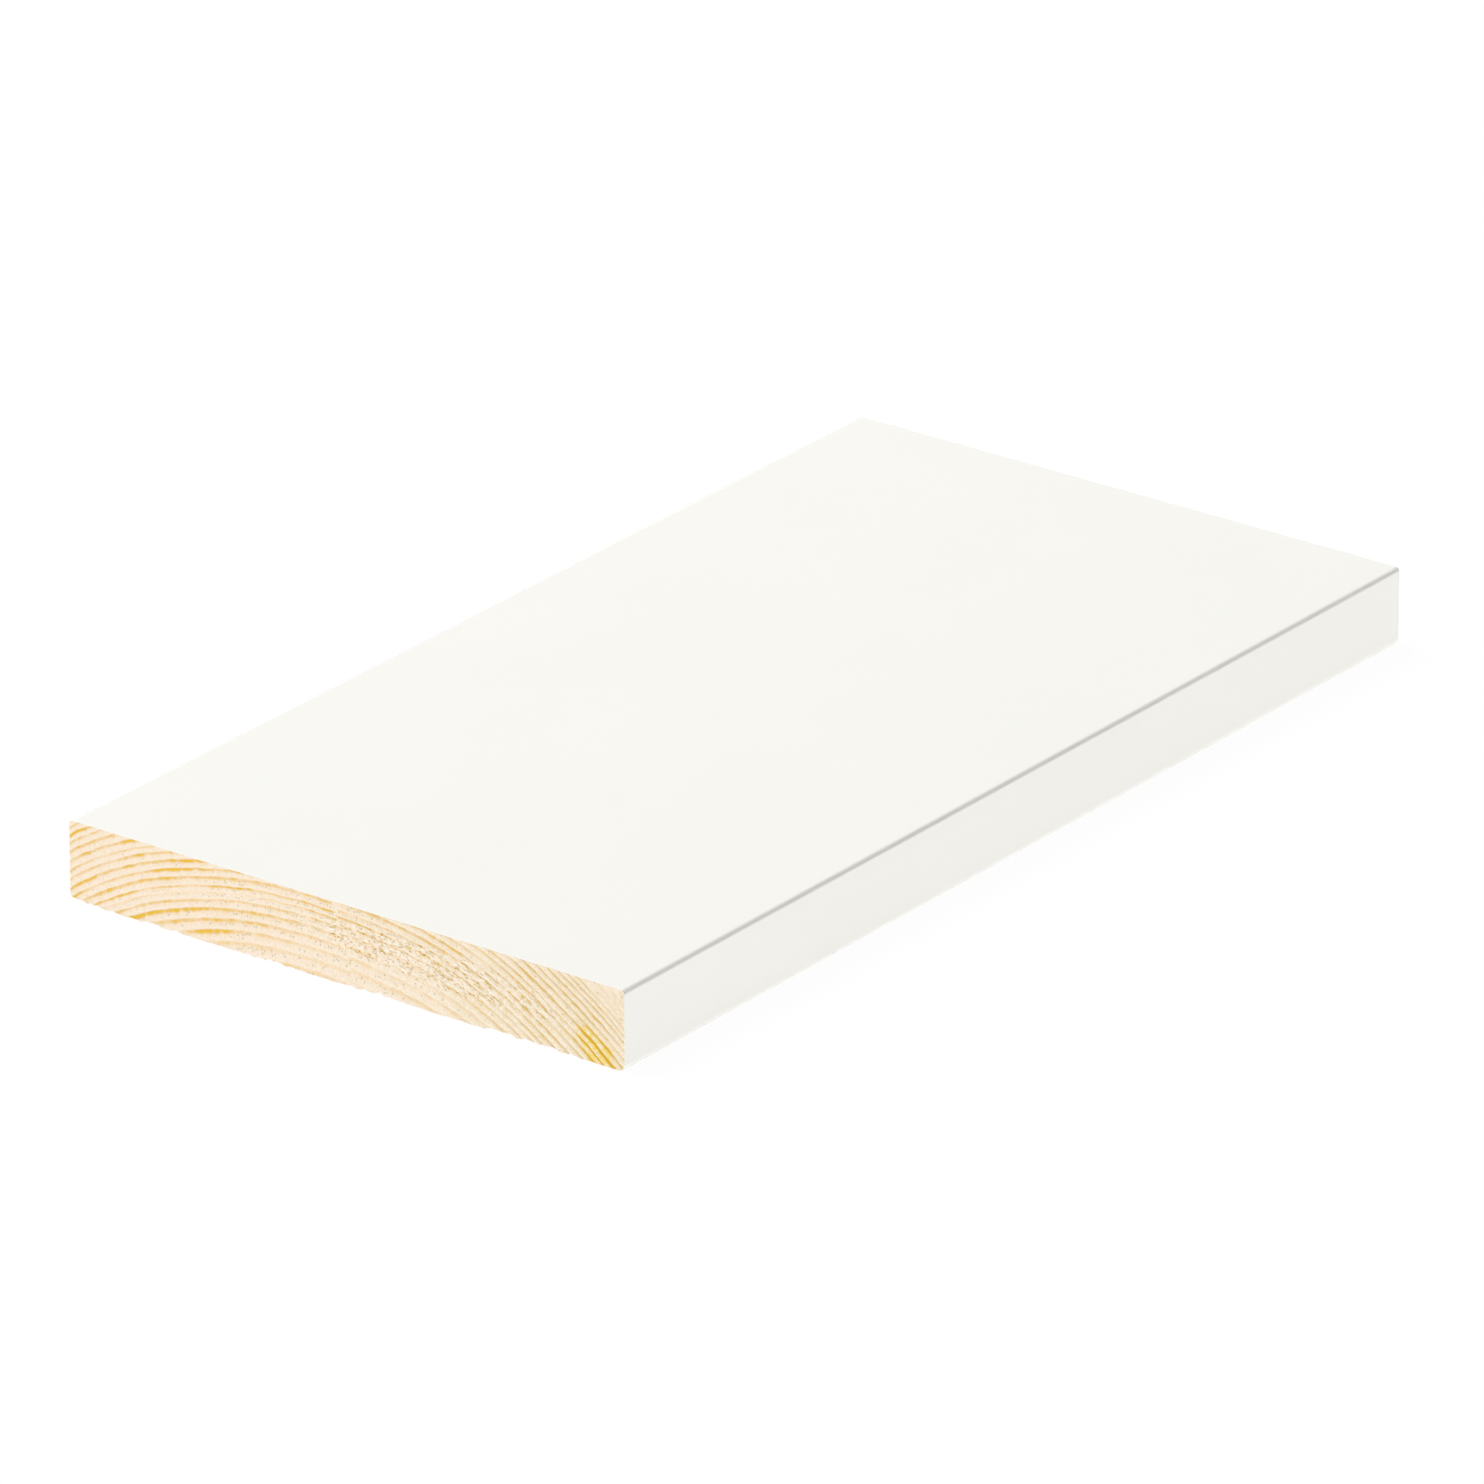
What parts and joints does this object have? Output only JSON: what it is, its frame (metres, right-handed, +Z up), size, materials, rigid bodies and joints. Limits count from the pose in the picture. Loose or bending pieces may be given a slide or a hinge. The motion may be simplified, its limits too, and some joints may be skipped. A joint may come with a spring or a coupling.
{
  "type": "window reveal trim board",
  "caption": "Flat planed pine board with eased arrises, white paint on face and edges, bare ends and back, for lining a window reveal.",
  "frame": {"origin": "middle of the back, the bare face that goes against the framing and that the board lies on", "axes": "+X along the board, +Y across its width towards the edge that meets the window frame, +Z up through its thickness, out of the painted face"},
  "size_m": [0.23, 0.12, 0.015],
  "materials": {
    "painted_pine": "satin white paint on the face and both edges, bare sawn end grain, bare planed back"
  },
  "bodies": {
    "root": {"reveal_board": "painted_pine"}
  },
  "joints": []
}
